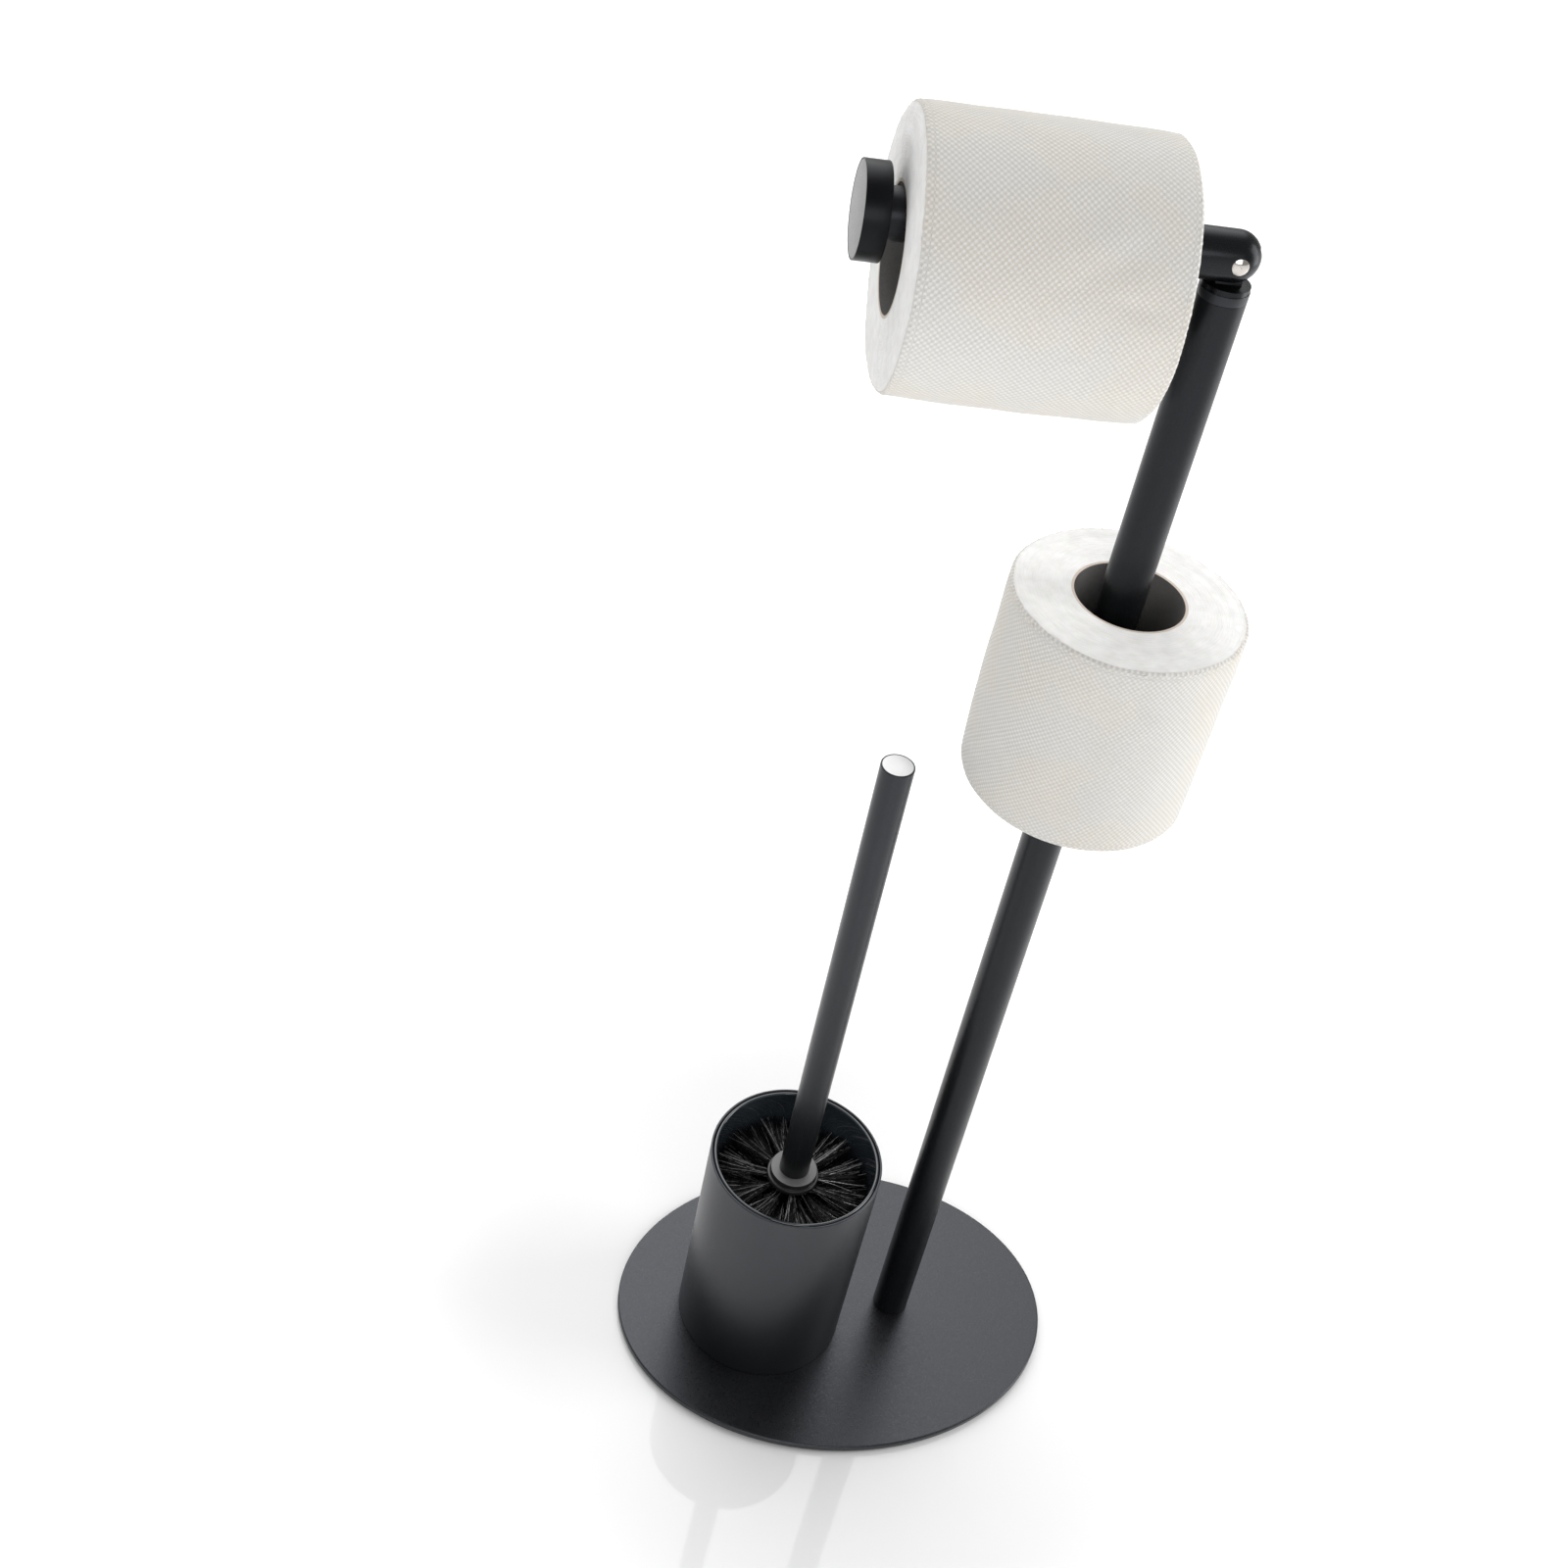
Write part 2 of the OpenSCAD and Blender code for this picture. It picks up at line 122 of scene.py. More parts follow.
# Light panels: place, the point that they face, width and height in metres, and power in watts
Panel = namedtuple("Panel", "name at towards size power")
PANELS = (
    Panel("right", at=(1.3, -0.15, 0.85), towards=(0, 0, 0.45), size=(0.7, 1.4), power=12),
    Panel("front", at=(-0.3, -2.0, 1.3), towards=(0, 0, 0.5), size=(1.6, 1.0), power=16),
)

# Colours
COAT_WARMTH = -0.10
COAT_SHEEN = (0.88, 0.91, 1.0, 1)
PAPER_GREY = (0.59, 0.58, 0.56, 1)
PAPER_CREAM = (0.61, 0.575, 0.52, 1)
# The emboss dots are painted paler, as light on their raised tops.
PAPER_DOT_LIT = (0.74, 0.725, 0.695, 1)
END_SHADED = (0.76, 0.755, 0.74, 1)
END_PALE = (0.88, 0.875, 0.865, 1)
# The cardboard greys are the board's own grey, darkened to paint the shade inside the cores.
BOARD_DARK_SHADED = (0.105, 0.102, 0.100, 1)
BOARD_PALE_SHADED = (0.19, 0.185, 0.18, 1)
BOARD_SEAM = (0.02, 0.018, 0.016, 1)
RIM_DARK = (0.50, 0.42, 0.36, 1)
RIM_PALE = (0.72, 0.64, 0.57, 1)

# Paper: dots in straight rows, every second row shifted by half a step, and the shape of a soft roll
EMBOSS_PITCH = 2.40 * MM
PAPER_EDGE = 1.3 * MM
PAPER_STEP = 1.3 * MM
SWELL = 0.35 * MM
CREASES = 0.12 * MM
BELLY = 0.5 * MM
END_LAYERS = 0.30 * MM
END_SAG = 0.9 * MM
FRINGE = 0.10 * MM

# Dents in the paper: turn in degrees and share of the length at their middle, their size around and along,
# how much they lean, and their depth
Dent = namedtuple("Dent", "turn share wide long lean deep")
ARM_DENTS = (
    Dent(turn=-60, share=0.30, wide=7 * MM, long=14 * MM, lean=0.8, deep=1.1 * MM),
    Dent(turn=-75, share=0.22, wide=4 * MM, long=12 * MM, lean=-0.6, deep=0.8 * MM),
    Dent(turn=-40, share=0.38, wide=5 * MM, long=16 * MM, lean=1.0, deep=0.7 * MM),
    Dent(turn=100, share=0.6, wide=9 * MM, long=18 * MM, lean=0.5, deep=0.8 * MM),
)
SPARE_DENTS = (
    Dent(turn=-95, share=0.80, wide=4 * MM, long=7 * MM, lean=1.0, deep=0.9 * MM),
    Dent(turn=-120, share=0.35, wide=10 * MM, long=22 * MM, lean=-0.5, deep=0.4 * MM),
    Dent(turn=60, share=0.5, wide=9 * MM, long=15 * MM, lean=0.4, deep=0.5 * MM),
)
ARM_SEED = 21
SPARE_SEED = 35

# Bristles: tufts in levels around the core, with more strands in the top levels. The brush has a round
# bottom edge.
STRAND_RADIUS = 0.17 * MM
STRAND_POINTS = 5
TUFTS_PER_LEVEL = 11
LEVEL_STEP = 5.4 * MM
TOP_STRANDS = 56
INNER_STRANDS = 30
TOP_LEVELS = 2
TOP_LEVEL_DROP = 2.5 * MM
BRUSH_BEND = 14 * MM
TIP_TAPER = 0.75

# How far a strand strays: across as a share of the step between tufts, at its root in radians and along the
# brush, at its tip up or down, in length, and by its crimp
STRAND_FAN = 0.1764
ROOT_TURN = 0.12
ROOT_SHIFT = 1.2 * MM
TIP_RISE = 2.6 * MM
TIP_DROOP = 1.2 * MM
TIP_TRIM = 0.8 * MM
STRAND_CRIMP = 0.35 * MM


# ---- materials ----

class Paint:
    """A procedural material: the Principled shader and the nodes that feed it."""

    def __init__(self, name, **constants):
        self.material = bpy.data.materials.new(name)
        self.material.use_nodes = True
        self.tree = self.material.node_tree
        self.shader = self.tree.nodes["Principled BSDF"]
        for socket, value in constants.items():
            self.shader.inputs[socket.replace("_", " ")].default_value = value
        self.place = self.add("TexCoord").outputs["Object"]

    def add(self, kind, settings=None, **sockets):
        """Adds a node. Sockets are given by name, as values or as outputs of other nodes."""
        made = self.tree.nodes.new("ShaderNode" + kind)
        for key, value in (settings or {}).items():
            setattr(made, key, value)
        for key, value in sockets.items():
            self.feed(made.inputs[key.replace("_", " ")], value)
        return made

    def feed(self, socket, value):
        if isinstance(value, bpy.types.NodeSocket):
            self.tree.links.new(value, socket)
        else:
            socket.default_value = value

    def noise(self, size, detail=3.0, rough=0.5):
        """Grey noise with features of about the given size in metres."""
        made = self.add("TexNoise", Vector=self.place, Scale=1 / size, Detail=detail, Roughness=rough)
        return made.outputs["Fac"]

    def spread(self, value, low, high, start=0.3, end=0.7):
        """Maps the stretch of a value from start to end to the range from low to high."""
        made = self.add("MapRange", Value=value, From_Min=start, From_Max=end, To_Min=low, To_Max=high)
        return made.outputs["Result"]

    def math(self, operation, a, b=0.0):
        made = self.add("Math", {"operation": operation})
        self.feed(made.inputs[0], a)
        self.feed(made.inputs[1], b)
        return made.outputs[0]

    def blend(self, factor, low, high):
        """Mixes two colours by a factor."""
        made = self.add("Mix", {"data_type": "RGBA"})
        self.feed(made.inputs[0], factor)
        self.feed(made.inputs[6], low)
        self.feed(made.inputs[7], high)
        return made.outputs[2]

    def colour(self, value):
        self.feed(self.shader.inputs["Base Color"], value)

    def roughness(self, value):
        self.feed(self.shader.inputs["Roughness"], value)

    def bump(self, height, depth, strength=1.0):
        """Raises the surface by a height times a depth, on top of earlier bumps."""
        made = self.add("Bump", Height=height, Distance=depth, Strength=strength)
        if self.shader.inputs["Normal"].is_linked:
            self.feed(made.inputs["Normal"], self.shader.inputs["Normal"].links[0].from_socket)
        self.feed(self.shader.inputs["Normal"], made.outputs["Normal"])


def grey(value, warmth=0.0):
    """A grey that is redder with a warmth above 0 and bluer with one below it."""
    return (value * (1 + warmth), value, value * (1 - warmth), 1.0)


def powder_coat(name, tone, roughness, grain, depth, specular, painted_glint=0.0):
    """Baked powder coat: a fine pebbled skin with slight changes of tone. Pale flecks, where asked for, are
    painted glints of light.
    """
    paint = Paint(name, Specular_IOR_Level=specular)
    paint.shader.inputs["Specular Tint"].default_value = COAT_SHEEN
    pebbles = paint.noise(grain, 2.0)
    cloud = paint.noise(30 * MM, 4.0)
    shade = paint.spread(cloud, 0.0, 1.0)
    base = paint.blend(shade, grey(tone * 0.88, COAT_WARMTH), grey(tone * 1.12, COAT_WARMTH))
    if painted_glint:
        # Painted glints: pale flecks in the colour stand for light catching the pebbled coat.
        glint_fleck = paint.spread(paint.noise(0.35 * MM, 1.0), 0.0, 1.0, 0.60, 0.72)
        base = paint.blend(paint.math("MULTIPLY", glint_fleck, painted_glint), base, grey(0.32))
    paint.colour(base)
    paint.roughness(paint.spread(pebbles, roughness - 0.05, roughness + 0.05))
    paint.bump(pebbles, depth)
    return paint.material


def metal(name, tone, roughness, grain=0.3 * MM, depth=0.004 * MM, warmth=0.0):
    """Bare steel with a fine grain."""
    paint = Paint(name, Metallic=1.0)
    grains = paint.noise(grain, 2.0)
    cloud = paint.noise(8 * MM, 3.0)
    shade = paint.spread(cloud, 0.0, 1.0)
    paint.colour(paint.blend(shade, grey(tone * 0.93, warmth), grey(tone, warmth)))
    paint.roughness(paint.spread(grains, roughness * 0.8, roughness * 1.25))
    paint.bump(grains, depth)
    return paint.material


def plastic(name, tone, roughness, warmth=0.0, ior=1.5):
    """Moulded plastic with faint flow marks."""
    paint = Paint(name, IOR=ior)
    flow = paint.noise(1.2 * MM, 3.0)
    cloud = paint.noise(14 * MM, 2.0)
    shade = paint.spread(cloud, 0.0, 1.0)
    paint.colour(paint.blend(shade, grey(tone * 0.85, warmth), grey(tone * 1.15, warmth)))
    paint.roughness(paint.spread(cloud, roughness * 0.85, roughness * 1.2))
    paint.bump(flow, 0.006 * MM)
    return paint.material


def rubber(name):
    """Dull black rubber."""
    paint = Paint(name, Specular_IOR_Level=0.3)
    grain = paint.noise(0.8 * MM, 3.0)
    paint.colour(paint.blend(grain, grey(0.018), grey(0.035)))
    paint.roughness(paint.spread(grain, 0.75, 0.9))
    paint.bump(grain, 0.05 * MM)
    return paint.material


def diagonal_dots(paint, grid):
    """Height of round dots at the corners and in the middle of each square of the grid, -2 to 2."""
    ripples = []
    for wave in ((TURN, TURN, 0), (TURN, -TURN, 0)):
        phase = paint.add("VectorMath", {"operation": "DOT_PRODUCT"})
        paint.feed(phase.inputs[0], grid)
        phase.inputs[1].default_value = wave
        ripples.append(paint.math("COSINE", phase.outputs["Value"]))
    return paint.math("ADD", *ripples)


def paper_sheet(name):
    """Embossed tissue: rows of dots painted paler as lit on their raised tops, soft creases and loose fibres.
    """
    paint = Paint(name, Subsurface_Weight=0.12, Subsurface_Scale=2 * MM, Specular_IOR_Level=0.12)
    paint.shader.inputs["Subsurface Radius"].default_value = (1.0, 0.9, 0.8)
    grid = paint.add("UVMap", {"uv_map": "sheet"}).outputs["UV"]
    dots = paint.spread(diagonal_dots(paint, grid), 0.0, 1.0, -1.0, 1.5)
    fibres = paint.noise(0.35 * MM, 4.0)
    cloud = paint.noise(34 * MM, 3.0)
    patches = paint.spread(cloud, 0.0, 1.0, 0.40, 0.60)
    ground = paint.blend(patches, PAPER_GREY, PAPER_CREAM)
    # Painted light: the raised dots are paler than the ground around them.
    paint.colour(paint.blend(dots, ground, PAPER_DOT_LIT))
    paint.roughness(paint.spread(fibres, 0.85, 1.0))
    paint.bump(dots, 0.25 * MM)
    paint.bump(fibres, 0.010 * MM)
    paint.bump(cloud, 1.2 * MM, 0.4)
    return paint.material


def paper_end(name):
    """Cut face of a roll: close rings of paper layers, pressed and slightly smeared."""
    paint = Paint(name, Subsurface_Weight=0.1, Subsurface_Scale=2 * MM, Specular_IOR_Level=0.1)
    rings = paint.add("UVMap", {"uv_map": "sheet"}).outputs["UV"]
    stretched = paint.add("VectorMath", {"operation": "MULTIPLY"})
    paint.feed(stretched.inputs[0], rings)
    stretched.inputs[1].default_value = (0.06, 1.0, 1.0)
    layers = paint.add("TexNoise", Vector=stretched.outputs[0], Scale=2.2, Detail=4.0).outputs["Fac"]
    smear = paint.noise(6 * MM, 3.0)
    fibres = paint.noise(0.4 * MM, 3.0)
    shade = paint.spread(paint.math("ADD", layers, smear), 0.0, 1.0, 0.7, 1.25)
    paint.colour(paint.blend(shade, END_SHADED, END_PALE))
    paint.roughness(paint.spread(fibres, 0.85, 1.0))
    paint.bump(layers, 0.25 * MM)
    paint.bump(fibres, 0.05 * MM)
    return paint.material


def cardboard(name):
    """Grey wound cardboard, its grey painted darker for the shade inside the core, with its spiral seam."""
    paint = Paint(name, Specular_IOR_Level=0.2)
    grid = paint.add("UVMap", {"uv_map": "sheet"}).outputs["UV"]
    parts = paint.add("SeparateXYZ", Vector=grid)
    lead = paint.math("FRACT", paint.math("ADD", parts.outputs["X"], parts.outputs["Y"]))
    from_seam = paint.math("ABSOLUTE", paint.math("SUBTRACT", lead, 0.5))
    seam = paint.math("LESS_THAN", from_seam, SEAM_HALF)
    fibres = paint.noise(0.7 * MM, 5.0, 0.65)
    # Painted shade: the fibre greys are darker than bare board, for the shade inside the core.
    base = paint.blend(fibres, BOARD_DARK_SHADED, BOARD_PALE_SHADED)
    paint.colour(paint.blend(seam, base, BOARD_SEAM))
    paint.roughness(paint.spread(fibres, 0.8, 0.95))
    paint.bump(paint.math("SUBTRACT", fibres, seam), 0.08 * MM)
    return paint.material


def core_rim(name):
    """Pale cut edge of the cardboard."""
    paint = Paint(name, Specular_IOR_Level=0.2)
    fibres = paint.noise(0.4 * MM, 4.0)
    paint.colour(paint.blend(fibres, RIM_DARK, RIM_PALE))
    paint.roughness(paint.spread(fibres, 0.8, 0.95))
    paint.bump(fibres, 0.06 * MM)
    return paint.material


def bristle_nylon(name):
    """Crimped black nylon strands, a few of them painted pale as glints of light."""
    paint = Paint(name, Specular_IOR_Level=0.22)
    strand = paint.add("Attribute", {"attribute_name": "strand"}).outputs["Fac"]
    crimp = paint.noise(0.9 * MM, 2.0)
    # Painted glints: strands with a high tone turn pale, up to near white.
    tone = paint.blend(paint.spread(strand, 0.0, 1.0, 0.80, 0.96), grey(0.003), grey(0.85))
    paint.colour(paint.blend(paint.spread(crimp, 0.0, 0.7), tone, grey(0.006)))
    paint.roughness(paint.spread(crimp, 0.22, 0.4))
    return paint.material


def floor_gloss(name):
    """Pale glossy floor that glows by itself, except close round the object."""
    paint = Paint(name, Roughness=0.04, IOR=FLOOR_IOR)
    cloud = paint.noise(0.6, 2.0)
    paint.colour(paint.blend(cloud, grey(FLOOR_TONE), grey(FLOOR_TONE * 1.01)))
    away = paint.add("VectorMath", {"operation": "LENGTH"})
    paint.feed(away.inputs[0], paint.place)
    glow = 0.0
    for (start, end), most in ((FLOOR_FADE, FLOOR_GLOW), (FLOOR_FAR, FLOOR_FAR_GLOW)):
        ramp = paint.add("MapRange", {"interpolation_type": "SMOOTHSTEP"}, Value=away.outputs["Value"],
                         From_Min=start, From_Max=end, To_Min=0.0, To_Max=most)
        glow = paint.math("ADD", ramp.outputs["Result"], glow)
    paint.shader.inputs["Emission Color"].default_value = (1, 1, 1, 1)
    paint.feed(paint.shader.inputs["Emission Strength"], glow)
    return paint.material


LOOKS = {
    # The plate coat has painted glints: faint pale flecks in its colour.
    "plate": powder_coat(
        "plate_coat", tone=0.003, roughness=0.31, grain=0.9 * MM, depth=0.035 * MM,
        specular=0.66, painted_glint=0.04),
    "tube": powder_coat(
        "tube_coat", tone=0.005, roughness=0.32, grain=0.30 * MM, depth=0.004 * MM, specular=0.28),
    "handle": powder_coat(
        "handle_coat", tone=0.006, roughness=0.32, grain=0.30 * MM, depth=0.004 * MM, specular=0.46),
    "head": powder_coat(
        "head_coat", tone=0.003, roughness=0.28, grain=0.30 * MM, depth=0.006 * MM, specular=0.26),
    # Painted light: the collar ring is a paler copy of the head coat, as if lit.
    "ring": powder_coat(
        "ring_coat", tone=0.008, roughness=0.40, grain=0.30 * MM, depth=0.006 * MM, specular=0.42),
    "knob": powder_coat(
        "knob_coat", tone=0.002, roughness=0.34, grain=0.30 * MM, depth=0.008 * MM, specular=0.16),
    "holder": powder_coat(
        "holder_coat", tone=0.006, roughness=0.36, grain=0.28 * MM, depth=0.004 * MM, specular=0.72),
    "rest": plastic("rest_plastic", tone=0.012, roughness=0.45),
    "pad": rubber("pad_rubber"),
    "zinc": metal("zinc_steel", tone=0.55, roughness=0.32),
    "satin": metal("satin_steel", tone=0.18, roughness=0.42, grain=0.25 * MM, depth=0.012 * MM),
    "polished": metal("polished_steel", tone=0.34, roughness=0.20, grain=0.5 * MM, depth=0.001 * MM),
    "pin": metal("pin_stainless", tone=0.50, roughness=0.10, grain=0.5 * MM, depth=0.001 * MM, warmth=0.06),
    "cup": plastic("cup_plastic", tone=0.028, roughness=0.07, warmth=-0.20, ior=1.68),
    "hub_top": plastic("hub_grey", tone=0.13, roughness=0.40),
    "hub": plastic("hub_plastic", tone=0.016, roughness=0.30),
    "bristle": bristle_nylon("bristle_nylon"),
    "sheet": paper_sheet("paper_sheet"),
    "end": paper_end("paper_end"),
    "core": cardboard("core_cardboard"),
    "rim": core_rim("core_rim"),
    "floor": floor_gloss("floor_gloss"),
}


# ---- places taken from the frame ----

def node_points(node):
    """Corner points of a CAD node."""
    return np.array([vertex.co for vertex in frame["nodes"][node].data.vertices])


def levels(node):
    """Heights at which a node that stands upright has edges."""
    return np.unique(node_points(node)[:, 2].round(5))


class Axis:
    """A turning axis. Points are given as radius, angle and distance along it."""

    def __init__(self, origin, along, side):
        self.origin = np.array(origin, float)
        self.along = np.array(along, float) / np.linalg.norm(along)
        across = np.array(side, float) - np.dot(side, self.along) * self.along
        self.side = across / np.linalg.norm(across)
        self.third = np.cross(self.along, self.side)

    def span(self, node):
        """Start, end and outer radius of a node on this axis."""
        place = node_points(node) - self.origin
        distance = place @ self.along
        radius = np.linalg.norm(place - np.outer(distance, self.along), axis=1)
        return distance.min(), distance.max(), radius.max()

    def points(self, radius, angle, distance):
        """Places in space of points around the axis."""
        spread = np.cos(angle)[..., None] * self.side + np.sin(angle)[..., None] * self.third
        return self.origin + radius[..., None] * spread + distance[..., None] * self.along


def upright(node):
    """Vertical axis through the middle of a node."""
    low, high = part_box(node)
    return Axis(((low.x + high.x) / 2, (low.y + high.y) / 2, 0), (0, 0, 1), (1, 0, 0))


JOINTS = {joint["name"]: joint for joint in frame["joints"]}
ARM_ALONG = JOINTS["arm_roll_spin"]["axis"]
POLE = upright("pole_tube")
HOLDER = upright("brush_holder")
SPARE = upright("spare_roll_core")
ARM = Axis(JOINTS["arm_fold"]["pos_m"], ARM_ALONG, (0, 0, 1))
ARM_ROLL = Axis(JOINTS["arm_roll_spin"]["pos_m"], ARM_ALONG, (0, 0, 1))


# ---- mesh tools ----

def finish_mesh(piece):
    """Joins doubled points, turns all faces outwards and shades curved faces smoothly."""
    work = bmesh.new()
    work.from_mesh(piece.data)
    bmesh.ops.remove_doubles(work, verts=work.verts, dist=1e-7)
    bmesh.ops.recalc_face_normals(work, faces=work.faces)
    work.to_mesh(piece.data)
    work.free()
    shade_smoothly(piece)


def shade_smoothly(piece):
    """Shades curved faces smoothly and keeps the edges sharp."""
    piece.data.shade_smooth()
    piece.data.set_sharp_from_angle(angle=math.radians(SHARP_ANGLE))


def new_piece(name, mesh, looks):
    """Puts a mesh into the scene with a list of materials."""
    piece = bpy.data.objects.new(name, mesh)
    bpy.context.scene.collection.objects.link(piece)
    mesh.materials.clear()
    for look in looks:
        mesh.materials.append(LOOKS[look])
    return piece


def rounded(corners, steps=4):
    """Outline through (radius, distance, edge radius) corners. A corner with edge radius 0 stays sharp."""
    outline = []
    count = len(corners)
    for index, (r, z, edge) in enumerate(corners):
        corner = np.array([r, z], float)
        if edge <= 0:
            outline.append(corner)
            continue
        before = np.array(corners[index - 1][:2], float) - corner
        after = np.array(corners[(index + 1) % count][:2], float) - corner
        before /= np.linalg.norm(before)
        after /= np.linalg.norm(after)
        half = math.acos(np.clip(before @ after, -1, 1)) / 2
        middle = (before + after) / np.linalg.norm(before + after)
        centre = corner + middle * edge / math.sin(half)
        start = corner + before * edge / math.tan(half) - centre
        end = corner + after * edge / math.tan(half) - centre
        for step in range(steps + 1):
            ray = start * (1 - step / steps) + end * (step / steps)
            outline.append(centre + ray / np.linalg.norm(ray) * edge)
    return np.array(outline)


def divided(outline, length, closed):
    """The same outline with no stretch longer than a length."""
    ends = np.roll(outline, -1, axis=0) if closed else outline[1:]
    result = []
    for start, end in zip(outline, ends):
        parts = max(1, math.ceil(np.linalg.norm(end - start) / length))
        result += [start + (end - start) * part / parts for part in range(parts)]
    if not closed:
        result.append(outline[-1])
    return np.array(result)


def quad(below, above, side, sides):
    """Face between two rings of points, given the numbers of their first points."""
    after = (side + 1) % sides
    return below + side, below + after, above + after, above + side


def turned(
        name, axis, outline, looks, closed=True, sides=TUBE_SIDES, shape=None, grid=None, look_of=None):
    """Surface of revolution. shape bends it, grid gives its pattern coordinates, look_of its materials."""
    angle, radius = np.meshgrid(np.arange(sides + 1) * TURN / sides, outline[:, 0])
    distance = np.repeat(outline[:, 1:2], sides + 1, axis=1)
    flat_radius, flat_distance = radius, distance
    if shape:
        radius, distance = shape(radius, angle, distance)
    points = axis.points(radius, angle, distance)[:, :-1].reshape(-1, 3)
    rows = len(outline) if closed else len(outline) - 1
    faces, corners = [], []
    for row in range(rows):
        below, above = row, (row + 1) % len(outline)
        for side in range(sides):
            faces.append(quad(below * sides, above * sides, side, sides))
            corners += [(below, side), (below, side + 1), (above, side + 1), (above, side)]
    mesh = bpy.data.meshes.new(name)
    mesh.from_pydata(points.tolist(), [], faces)
    piece = new_piece(name, mesh, looks)
    if grid:
        u, v = grid(flat_radius, angle, flat_distance)
        layer = mesh.uv_layers.new(name="sheet")
        picks = np.array(corners)
        values = np.stack([u[picks[:, 0], picks[:, 1]], v[picks[:, 0], picks[:, 1]]], axis=1)
        layer.data.foreach_set("uv", values.ravel())
    if look_of:
        row_look = [look_of(outline[row], outline[(row + 1) % len(outline)]) for row in range(rows)]
        mesh.polygons.foreach_set("material_index", np.repeat(row_look, sides))
    finish_mesh(piece)
    return piece


def ring_outline(start, end, outer, inner, edge):
    """Closed outline of a tube wall."""
    return rounded([(inner, start, edge), (outer, start, edge), (outer, end, edge), (inner, end, edge)])


def waves(angle, distance, count, turns, rates, seed):
    """Smooth random field that closes on itself around the axis, with values of about -1 to 1."""
    dice = np.random.default_rng(seed)
    total = np.zeros_like(angle)
    for _ in range(count):
        around = dice.integers(0, turns + 1)
        rate = dice.uniform(-rates, rates)
        total += np.cos(around * angle + rate * distance + dice.uniform(0, TURN))
    return total / math.sqrt(count)


def softened(name, node, look, width, body, slot):
    """Copy of a CAD node with its sharp edges rounded off."""
    piece = new_piece(name, frame["nodes"][node].data.copy(), [look])
    work = bmesh.new()
    work.from_mesh(piece.data)
    bmesh.ops.remove_doubles(work, verts=work.verts, dist=1e-6)
    bmesh.ops.dissolve_limit(work, angle_limit=math.radians(0.4), verts=work.verts, edges=work.edges)
    work.to_mesh(piece.data)
    work.free()
    piece.data.polygons.foreach_set("material_index", [0] * len(piece.data.polygons))
    bevel = piece.modifiers.new("edge", "BEVEL")
    bevel.width = width
    bevel.segments = 3
    bevel.limit_method = "ANGLE"
    bevel.angle_limit = math.radians(40)
    bevel.use_clamp_overlap = True
    settle(piece)
    shade_smoothly(piece)
    stand_for(piece, body, slot, node)
    return piece


def settle(piece):
    """Applies a piece's modifiers."""
    bpy.context.view_layer.update()
    shaped = piece.evaluated_get(bpy.context.evaluated_depsgraph_get())
    mesh = bpy.data.meshes.new_from_object(shaped)
    piece.modifiers.clear()
    piece.data = mesh


def repaint_band(piece, look, low, high):
    """Gives the faces whose middle lies between two heights a material of their own."""
    piece.data.materials.append(LOOKS[look])
    for face in piece.data.polygons:
        if low < face.center.z < high:
            face.material_index = 1


def stand_for(piece, body, slot, *nodes):
    """Lets a piece move with a body and take the place of CAD nodes."""
    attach(piece, body)
    if nodes:
        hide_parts(*nodes)


# ---- stand ----

def plate():
    """Oval steel plate with rounded edges and countersunk holes from below."""
    low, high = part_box("base_plate")
    half = np.array([(high.x - low.x) / 2, (high.y - low.y) / 2])
    angle = np.arange(PLATE_SIDES) * TURN / PLATE_SIDES
    rim = np.stack([np.cos(angle), np.sin(angle)], axis=1)
    outward = rim / half
    outward /= np.linalg.norm(outward, axis=1)[:, None]
    edge = rounded([
        (0, low.z, 0), (PLATE_EDGE, low.z, PLATE_FOOT_EDGE),
        (PLATE_EDGE, high.z, PLATE_EDGE * 0.98), (0, high.z, 0),
    ])
    rings = [np.c_[rim * half - outward * (PLATE_EDGE - inset), np.full(PLATE_SIDES, z)] for inset, z in edge]
    mesh = bpy.data.meshes.new("plate_skin")
    mesh.from_pydata(np.concatenate(rings).tolist(), [], stacked(len(rings), PLATE_SIDES))
    piece = new_piece("plate_skin", mesh, ["plate"])
    finish_mesh(piece)
    for axis, screw in ((POLE, "pole_screw"), (HOLDER, "holder_screw")):
        drill(piece, axis, screw, low.z, high.z)
    shade_smoothly(piece)
    stand_for(piece, "stand", "plate_powder_coat", "base_plate")


def stacked(rings, sides):
    """Faces of a stack of rings of points, closed at both ends."""
    last = (rings - 1) * sides
    faces = []
    for below in range(0, last, sides):
        faces += [quad(below, below + sides, side, sides) for side in range(sides)]
    return faces + [tuple(reversed(range(sides))), tuple(range(last, last + sides))]


def drill(piece, axis, screw, start, end):
    """Cuts the countersunk hole for a screw into a plate."""
    head = axis.span(screw)[2] + SCREW_GAP
    shank = head / 2 + SCREW_GAP / 2
    over = 1 * MM
    outline = np.array([
        (0, start - over), (head + over, start - over), (shank, start + head - shank),
        (shank, end + over), (0, end + over),
    ])
    cutter = turned("cutter", axis, outline, [], closed=False, sides=HOLE_SIDES)
    cut = piece.modifiers.new("hole", "BOOLEAN")
    cut.object = cutter
    cut.operation = "DIFFERENCE"
    cut.solver = "EXACT"
    settle(piece)
    bpy.data.objects.remove(cutter)


